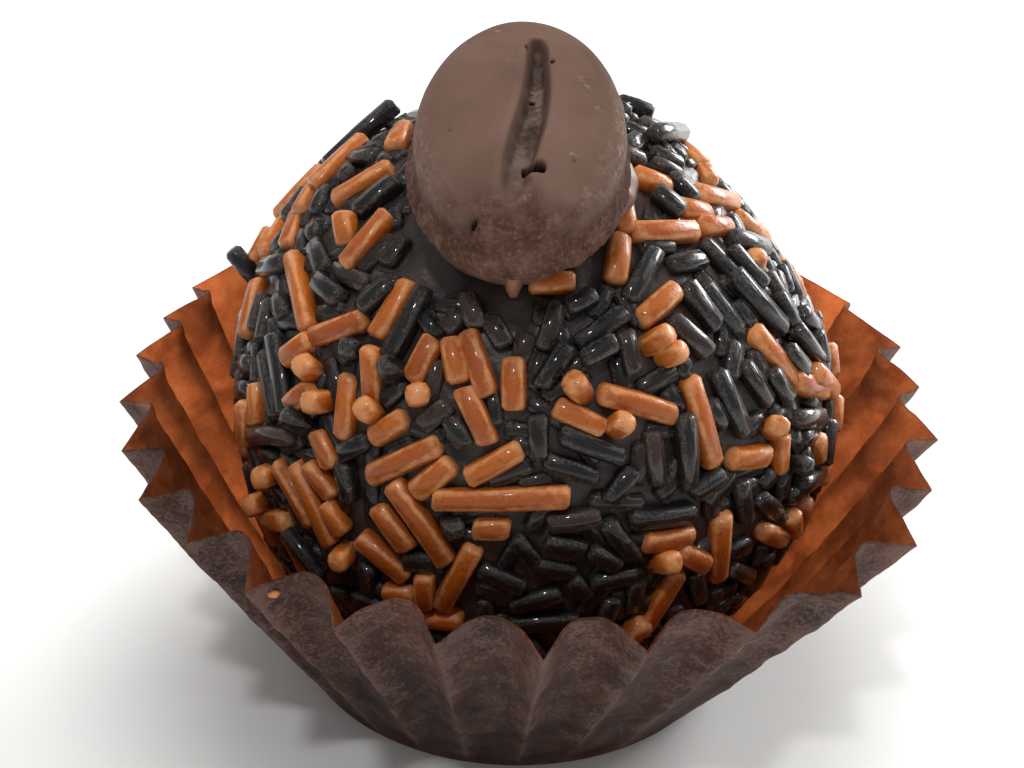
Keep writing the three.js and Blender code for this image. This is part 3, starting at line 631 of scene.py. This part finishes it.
DARK = [
    (-60, 18, 141, 3.6), (-56, 22, 135, 4.2), (-85, 16, 164, 3.4), (-74, 19, 166, 4.2),
    (-79, 4, 91, 3.8), (-59, 7, 29, 4.6), (-47, 17, 150, 1.6, 50), (112, 62, 131, 4.6),
    (74, 44, 137, 3.2), (60, 45, 104, 3.2), (65, 42, 99, 2.7), (84, 36, 126, 3.8),
    (72, 33, 88, 2.8), (61, 36, 112, 4.2), (50, 39, 104, 3.0), (43, 41, 115, 3.0),
    (83, 22, 138, 4.0), (57, 60, 99, 1.8), (71, 60, 73, 1.8), (80, 64, 100, 1.7), (69, 31, 90, 2.0),
    (64, 23, 117, 2.0), (139, 66, 147, 3.2), (-118, 52, 128, 4.8, 10), (-96, 24, 110, 2.6, 65),
    (-55, 23, 129, 3.6), (-58, 19, 133, 3.4), (-74, 20, 155, 3.0), (-69, 23, 150, 2.8),
    (-55, 10, 26, 4.2), (-39, 33, 0, 2.0, 75), (-46, 17, 130, 1.9), (-33, 17, 38, 1.9),
    (-34, 10, 108, 2.0), (-31, 7, 103, 3.0), (-29, 40, 80, 3.9), (-18, 26, 46, 1.8),
    (-13, 24, 127, 1.6), (-13, 7, 9, 1.7, 60), (-45, -10, 144, 3.0), (-28, -6, 18, 1.8),
    (-40, -16, 103, 3.2), (-4, -3, 154, 2.4), (-28, 32, 154, 1.7, 70), (5, 43, 69, 2.4),
    (17, 42, 27, 2.9), (5, 36, 54, 2.4), (15, 38, 21, 1.9), (22, 37, 92, 2.1), (38, 37, 122, 2.7),
    (44, 41, 106, 2.6), (50, 38, 103, 3.1), (59, 36, 110, 3.7), (66, 28, 105, 2.9),
    (43, 23, 103, 3.7), (51, 24, 110, 2.7), (57, 21, 112, 2.2), (30, 18, 86, 3.6),
    (24, 18, 92, 2.7), (12, 22, 155, 3.3), (8, 18, 158, 2.8), (2, 24, 92, 2.1), (25, 7, 172, 3.5),
    (43, 4, 100, 2.6), (50, 0, 134, 2.6), (65, 11, 155, 3.6), (58, 5, 146, 2.0, 65),
    (66, -3, 158, 3.4), (17, 4, 123, 2.7), (7, 4, 163, 2.0), (0, 3, 126, 1.8), (14, 1, 139, 1.8),
    (16, -4, 4, 2.3), (34, 11, 14, 2.1), (18, 10, 136, 1.9), (65, -8, 157, 3.0),
    (-65, 43, 170, 2.5), (-54, 40, 178, 2.3), (-48, 40, 67, 2.9), (-39, 43, 64, 2.0),
    (-41, 53, 84, 3.2), (-66, 58, 92, 2.6), (-61, 60, 59, 2.2), (-21, 47, 85, 3.2),
    (-33, 54, 142, 1.9), (-14, 45, 116, 1.8), (-9, 42, 155, 2.1), (-4, 46, 165, 1.9),
    (-80, 34, 35, 2.8), (-60, 31, 21, 2.4), (-71, 51, 26, 1.8), (137, 61, 38, 2.0),
    (130, 58, 43, 2.2), (106, 68, 8, 2.8), (80, 66, 95, 2.2), (73, 61, 106, 2.0),
    (53, 60, 107, 2.0), (110, 62, 132, 3.0), (32, 50, 38, 3.3), (19, 51, 105, 2.2),
    (13, 47, 21, 1.6), (58, 48, 102, 2.0), (68, 47, 135, 2.8), (75, 33, 101, 3.5),
    (82, 38, 127, 3.4), (83, 22, 138, 3.4), (71, 23, 123, 3.3), (84, 16, 122, 2.9),
    (81, 11, 120, 2.8), (100, 50, 62, 1.9), (91, 46, 86, 1.9), (29, 48, 22, 1.7), (2, -8, 20, 2.6),
    (9, -10, 150, 2.8), (34, -12, 110, 2.6), (46, -14, 140, 3.0),
]


def seeded(seed):
    """A repeatable stream of numbers from 0 to 1, by adding a constant and mixing 32 bits."""
    word, a = 0xFFFFFFFF, seed
    while True:
        a = (a + 0x6D2B79F5) & word
        t = ((a ^ (a >> 15)) * (a | 1)) & word
        t = (t ^ (t + (((t ^ (t >> 7)) * (t | 61)) & word))) & word
        yield ((t ^ (t >> 14)) & word) / 4294967296


def strand_at(n, heading, tip, length, lift=0.0):
    """A strand over the unit vector n: its middle, its direction (level turned by heading, then
    tipped out of the surface) and half the length of its middle line."""
    level = np.array([-n[1], n[0], 0])
    level /= np.linalg.norm(level)
    flat_way = level * math.cos(heading) + np.cross(n, level) * math.sin(heading)
    way = flat_way * math.cos(tip) + n * math.sin(tip)
    half = (length - STRAND_D * 2 * STRAND_CAP) / 2
    stand = abs(math.sin(tip)) * half - 0.02 * (half * math.cos(tip)) ** 2
    middle = BALL + n * (float(fudge_radius(n)) + STRAND_SUNK + lift + stand * 0.5)
    return middle, way, half


def strand_clear(middle, way, half, room):
    """Whether a strand keeps room (mm) off the bean and the dab, and clear of the bottom of the
    case. With room below 0 it may run into the dab and just into the bean."""
    points = middle + way * (half * np.array([-1.25, -0.6, 0, 0.6, 1.25]))[:, None]
    q = (points - bean_at) @ bean_axes.T
    off_dab = np.hypot(q[:, 0], q[:, 1]) > dab_reach(np.arctan2(q[:, 1], q[:, 0])) + room
    beside = np.hypot(q[:, 0] / (BEAN_A + room), q[:, 1] / (BEAN_B + room)) > 1
    off_bean = beside | (q[:, 2] < -room)
    high = points[:, 2] > STRAND_LOW + STRAND_D / 2
    return bool(((off_dab | (room < 0)) & off_bean & high).all())


placed = {"middle": np.zeros((0, 3)), "way": np.zeros((0, 3)), "half": np.zeros(0), "dark": []}


def least_gap(middle, way, half):
    """Least distance from five points along a strand's middle line to each one placed before."""
    p = middle + way * (half * np.linspace(-1, 1, 5))[:, None] - placed["middle"][:, None]
    t = np.einsum("nkx,nx->nk", p, placed["way"])
    t = np.clip(t, -placed["half"][:, None], placed["half"][:, None])
    return np.linalg.norm(p - t[..., None] * placed["way"][:, None], axis=-1).min(initial=9.0)


def put(strand, dark_kind):
    """Adds a strand to those placed."""
    placed["middle"] = np.vstack([placed["middle"], strand[0]])
    placed["way"] = np.vstack([placed["way"], strand[1]])
    placed["half"] = np.append(placed["half"], strand[2])
    placed["dark"].append(dark_kind)


for rows_of, dark_kind in ((CARAMEL, 0), (CARAMEL_SMALL, 0), (DARK, 1)):
    for az, el, heading, length, *tip in rows_of:
        n = direction(az, el)
        args = (math.radians(heading), math.radians(tip[0] if tip else 0), length)
        strand = strand_at(n, *args)
        gap = least_gap(*strand)
        if rows_of is not CARAMEL and gap < 0.5 * STRAND_D:
            continue
        if rows_of is not CARAMEL and gap < 0.9 * STRAND_D:
            strand = strand_at(n, *args, lift=min(0.9 * STRAND_D - gap, 0.35))
        if strand_clear(*strand, room=-0.1 if rows_of is CARAMEL else 0.5):
            put(strand, dark_kind)

# the same chance rule as the solid's, longest first, then shorter ones into the room that is left:
# tries, longest and shortest (mm), least gap between middle lines (diameters), lift (mm)
PASSES = ((3000, 4.6, 1.5, 0.93, 0.0), (2500, 2.8, 1.7, 0.82, 0.0), (2500, 2.4, 1.3, 0.68, -0.1),
          (2500, 3.2, 1.5, 0.55, -0.22), (3000, 2.6, 1.5, 0.42, -0.36))
LOWEST = 1.86  # 1 minus the sine of the lowest elevation that is drawn
FRONT_REACH = 100  # degrees to each side of the front in which every chance strand is dark
PATCH = 0.25  # swelling above which one behind is caramel
draw = seeded(SEED)
for tries, longest, shortest, keep_off, lift in PASSES:
    for k in range(tries):
        pick_el, pick_az, pick_way, pick_long = next(draw), next(draw), next(draw), next(draw)
        n = direction(360 * pick_az, math.degrees(math.asin(1 - LOWEST * pick_el)))
        length = longest - (longest - shortest) * (k / tries) ** 0.5 + 0.5 * (pick_long - 0.5)
        heading = math.pi * pick_way
        strand = strand_at(n, heading, 0.0, length, lift)
        if least_gap(*strand) > keep_off * STRAND_D and strand_clear(*strand, room=0.5):
            front_side = abs((pick_az * 360 + 180) % 360 - 180) < FRONT_REACH
            patch = float(ripple(n * 15, 11.0, 41)) + 0.5 * float(ripple(n * 15, 4.0, 42))
            put(strand, 1 if front_side or patch < PATCH or lift < 0 else 0)

kinds = np.array(placed["dark"])
print("strands", len(kinds), "caramel", int((kinds == 0).sum()), "dark", int((kinds == 1).sum()))

# rings of a strand from the middle of one end to that of the other: radius share, distance in from
# the end (mm), which end, and how strongly its edge is painted pale as a highlight
RING_R, RING_IN, RING_END, RING_EDGE_HIGHLIGHT = np.array([
    [0, 0.68, 0.96, 1.0, 0.96, 0.68, 0],
    [0, 0.03, 0.2, 0, -0.2, -0.03, 0],
    [-1, -1, -1, 0, 1, 1, 1],
    [0, 0.85, 0.6, 0, 0.6, 0.85, 0]])[..., None]


def strand_rods(name, chosen, wide, sides, uneven, ridge, seed):
    """All strands of one kind as rods with so many sides. Radius = wide * profile * (1 + taper
    along + oval cos 2a - ridge cos 4a), which flattens its top and flanks a little; its ends are
    cut askew and its middle line bows."""
    rng = np.random.default_rng(seed)
    middle, way, half = placed["middle"][chosen], placed["way"][chosen], placed["half"][chosen]
    count = len(half)
    side_way = np.cross(way, middle - BALL)
    side_way /= np.linalg.norm(side_way, axis=1)[:, None]
    top_way = np.cross(side_way, way)
    one = rng.uniform(-1, 1, (count, 8, 1, 1))
    a = np.pi / 4 + np.linspace(0, 2 * np.pi, sides, endpoint=False)[None, None, :]
    half = half[:, None, None]
    full = half + STRAND_D * STRAND_CAP
    z = RING_END * full + RING_IN
    t = z / full
    r = wide * (1 + 0.05 * rng.uniform(-1, 1, (count, 1, 1))) * RING_R
    dents = uneven * 0.35 * rng.uniform(-1, 1, (count, len(RING_R), sides)) * (RING_R > 0.8)
    r = r * (1 + uneven * one[:, 0] * t + uneven * 0.8 * one[:, 1] * (t ** 2 - 0.4)
             + uneven * one[:, 2] * np.cos(2 * a + 3 * one[:, 3])
             - ridge * np.cos(4 * a) + dents)
    x, y = r * np.cos(a), r * np.sin(a)
    z = z + RING_END ** 2 * 0.22 * one[:, 5] * x
    x = x + uneven * one[:, 6] * half * (1 - t ** 2) * 0.6
    y = y + uneven * 0.3 * one[:, 7] * half * (1 - t ** 2)
    roll = 0.25 * one[:, 4, 0, 0]
    side_way, top_way = (side_way * np.cos(roll)[:, None] + top_way * np.sin(roll)[:, None],
                         top_way * np.cos(roll)[:, None] - side_way * np.sin(roll)[:, None])
    grid = (middle[:, None, None] + way[:, None, None] * z[..., None]
            + side_way[:, None, None] * x[..., None] + top_way[:, None, None] * y[..., None])
    tone = np.broadcast_to(rng.uniform(0, 1, (count, 1, 1)), x.shape)
    # the corners along a rod and the rims of its ends carry a painted edge highlight, stored as rim
    corner = np.clip(-np.cos(4 * a), 0, 1)
    rim = np.broadcast_to(np.maximum(RING_EDGE_HIGHLIGHT, corner), x.shape)
    # texture places in mm, round and along, with each strand on a part of its own
    round_mm = np.linspace(0, 2 * np.pi * wide, sides + 1)
    uv = np.stack(np.broadcast_arrays(
        round_mm[None, None, :] + 40 * tone[:, :, :1], z[:, :, :1] + 17 * tone[:, :, :1]), -1)
    return skin(name, grid, uv, tone=tone, rim=rim)


caramel = strand_rods("caramel_strands", kinds == 0, STRAND_D / 2 * 0.97, 12, 0.05, 0.035, 51)
dark_strands = strand_rods("dark_strands", kinds == 1, STRAND_D / 2 * 0.88, 8, 0.08, 0.07, 52)

# Caramel-coloured sugar strands: opaque and waxy with a low polish, finely speckled, and painted
# paler along their edges as a highlight.
waxy, tree, place = material("caramel_sugar_strand")
speck = noise(tree, place, 0.2, 4.0, 0.6)
cloud = noise(tree, place, 0.6, 4.0, 0.65)
tone = ramp(tree, stored(tree, "tone"), (0.0, "#9c4911"), (1.0, "#b96218"))
tone = mixed(tree, ramp(tree, speck, (0.32, 0.7), (0.46, 0.0)), tone, "#7c4222")
# painted highlight: paler along the corners and the rims of the ends
rub_and_edge_highlight = worked(tree, "MULTIPLY", stored(tree, "rim"), cloud)
tone = mixed(tree, ramp(tree, rub_and_edge_highlight, (0.26, 0.0), (0.5, 0.8)), tone, "#d8955f")
relief = bump(tree, speck, 0.4, 0.07, Normal=bump(tree, cloud, 0.5, 0.15))
dress(caramel, waxy, tree,
      node(tree, "BsdfPrincipled", {"Base Color": tone, "Roughness": 0.42,
                                    "Specular IOR Level": 0.4, "Coat Weight": 0.3,
                                    "Coat Roughness": 0.1, "Sheen Weight": 0.12,
                                    "Sheen Roughness": 0.35, "Sheen Tint": linear("#ffd9ae"),
                                    "Normal": relief}))

# Dark chocolate strands: nearly black and glossier, with drawn ridges along them that catch the
# light as thin grey lines, and their edges painted grey as a highlight.
glossy, tree, place = material("dark_chocolate_strand")
along = node(tree, "Mapping", {"Vector": node(tree, "TexCoord").outputs["UV"],
                               "Scale": (1.0, 0.22, 1.0)})
drawn = node(tree, "TexNoise", {"Vector": along.outputs[0], "Scale": 1 / 0.3, "Detail": 2.0})
speck = noise(tree, place, 0.14, 3.0)
tone = ramp(tree, stored(tree, "tone"), (0.0, "#161515"), (0.78, "#1d1b1a"), (0.92, "#2d231f"),
            (1.0, "#3d2d27"))
# painted highlight: grey along the corners and the rims of the ends
wear_and_edge_highlight = worked(tree, "MULTIPLY", stored(tree, "rim"), speck)
tone = mixed(tree, ramp(tree, wear_and_edge_highlight, (0.32, 0.0), (0.6, 0.42)), tone, "#6e6763")
ridges = bump(tree, drawn.outputs["Fac"], 0.6, 0.25)
relief = bump(tree, speck, 0.35, 0.08, Normal=ridges)
dress(dark_strands, glossy, tree,
      node(tree, "BsdfPrincipled", {"Base Color": tone, "Roughness": 0.4,
                                    "Specular IOR Level": 0.18, "Coat Weight": 0.55,
                                    "Coat Roughness": 0.07, "Normal": relief}))
for piece in (caramel, dark_strands):
    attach(piece, "root")
    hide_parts("truffle")


# ---- Crumb --------------------------------------------------------------------------------------
# A crumb of caramel strand that stuck to the front left of the case when it was filled.
CRUMB_AT = (7.14, 0.96)  # flutes round the case, and share of the way up
CRUMB_R = np.array([0.3, 0.24, 0.16])
unit = unit_ball(10, 16)
seat = case_in(np.array([CRUMB_AT[0]]), np.array([CRUMB_AT[1]]), -0.1)[0]
lumpy = unit * CRUMB_R * (1 + 0.12 * ripple(unit, 1.1, 61))[..., None]
# rim 1.0 puts the painted edge highlight in patches over the whole crumb
crumb = skin("caramel_crumb", seat + lumpy, tone=0.9, rim=1.0)
crumb.data.materials.append(waxy)
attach(crumb, "root")


# ---- Table, light and camera --------------------------------------------------------------------
# A plain pale table under an even white world, a small lamp high at the front that puts the glints
# on the strands, a soft light from the right, the lights that are told apart below, and the eye at
# about 30 degrees over the table.
table_mesh = bpy.data.meshes.new("table")
table_mesh.from_pydata([(-1.5, -1.5, 0), (1.5, -1.5, 0), (1.5, 1.5, 0), (-1.5, 1.5, 0)], [],
                       [(0, 1, 2, 3)])
table = add_object("table", table_mesh)
pale_board, tree, place = material("pale_laminate")
board = ramp(tree, noise(tree, place, 25.0, 2.0), (0.3, "#f0efed"), (0.7, "#f4f3f1"))
dress(table, pale_board, tree,
      node(tree, "BsdfPrincipled", {"Base Color": board, "Roughness": 0.6}))
table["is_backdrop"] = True

world = bpy.data.worlds.new("studio")
world.use_nodes = True
world.node_tree.nodes["Background"].inputs["Color"].default_value = (1, 1, 1, 1)
world.node_tree.nodes["Background"].inputs["Strength"].default_value = 0.32
bpy.context.scene.world = world


def soft_light(name, az, el, away, size, watts, shines=True):
    """An area light of size (across, up) metres that looks at the ball from azimuth az and
    elevation el, away metres; shines is whether it shows in glossy reflections."""
    data = bpy.data.lights.new(name, "AREA")
    data.shape, data.size, data.size_y, data.energy = "RECTANGLE", size[0], size[1], watts
    made = add_object(name, data)
    toward = direction(az, el)
    made.location = BALL * MM + toward * away
    made.rotation_euler = Vector(toward).to_track_quat("Z", "Y").to_euler()
    made.visible_glossy = shines
    return made


soft_light("lamp", -12, 60, 0.4, (0.03, 0.03), 0.34)
soft_light("right", 95, 35, 0.35, (0.2, 0.2), 0.16)
# The overhead light falls on all but the paper, the two behind on all but the paper and the bean,
# and the two low ones on the paper alone, to shine through it from behind.
LINKED_AWAY = 0.32  # metres from the ball
off_paper = bpy.data.collections.new("off_paper")
ball_only = bpy.data.collections.new("ball_only")
for lit in (fudge, caramel, dark_strands, dab, crumb, table):
    off_paper.objects.link(lit)
    ball_only.objects.link(lit)
off_paper.objects.link(bean)
paper_only = bpy.data.collections.new("paper_only")
paper_only.objects.link(case)
for name, az, el, size, watts, lit in (
        ("overhead", 180, 80, (0.24, 0.24), 0.8, off_paper),
        ("behind_left", -155, 14, (0.2, 0.1), 0.06, ball_only),
        ("behind_right", 135, 16, (0.2, 0.1), 1.1, ball_only),
        ("through_left", -160, -1.3, (0.09, 0.014), 2.1, paper_only),
        ("through_right", 156, -1.3, (0.09, 0.014), 1.55, paper_only)):
    light = soft_light(name, az, el, LINKED_AWAY, size, watts, lit is ball_only)
    light.light_linking.receiver_collection = lit

EYE = np.array([-0.33389, -94.91894, 71.78981])
EYE_PITCH = math.radians(30.4923)
EYE_ROLL = 0.018
EYE_LENS = 2093.0 / 1024  # focal length, in widths of the view
ahead = np.array([0, math.cos(EYE_PITCH), -math.sin(EYE_PITCH)])
level = np.array([1.0, 0, 0])
over = np.cross(level, ahead)
eye_x = level * math.cos(EYE_ROLL) + over * math.sin(EYE_ROLL)
eye_y = -level * math.sin(EYE_ROLL) + over * math.cos(EYE_ROLL)
camera_data = bpy.data.cameras.new("camera")
camera_data.sensor_width = 36.0
camera_data.lens = camera_data.sensor_width * EYE_LENS
camera_data.clip_start = 0.005
camera = add_object("camera", camera_data)
to_world = np.eye(4)
to_world[:3, 0], to_world[:3, 1], to_world[:3, 2] = eye_x, eye_y, -ahead
to_world[:3, 3] = EYE * MM
camera.matrix_world = to_world.T
bpy.context.scene.camera = camera
bpy.context.scene.view_settings.view_transform = "Standard"

size = {"cad": [list(map(float, corner)) for corner in cad_box],
        "visual": [list(map(float, corner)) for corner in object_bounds()]}
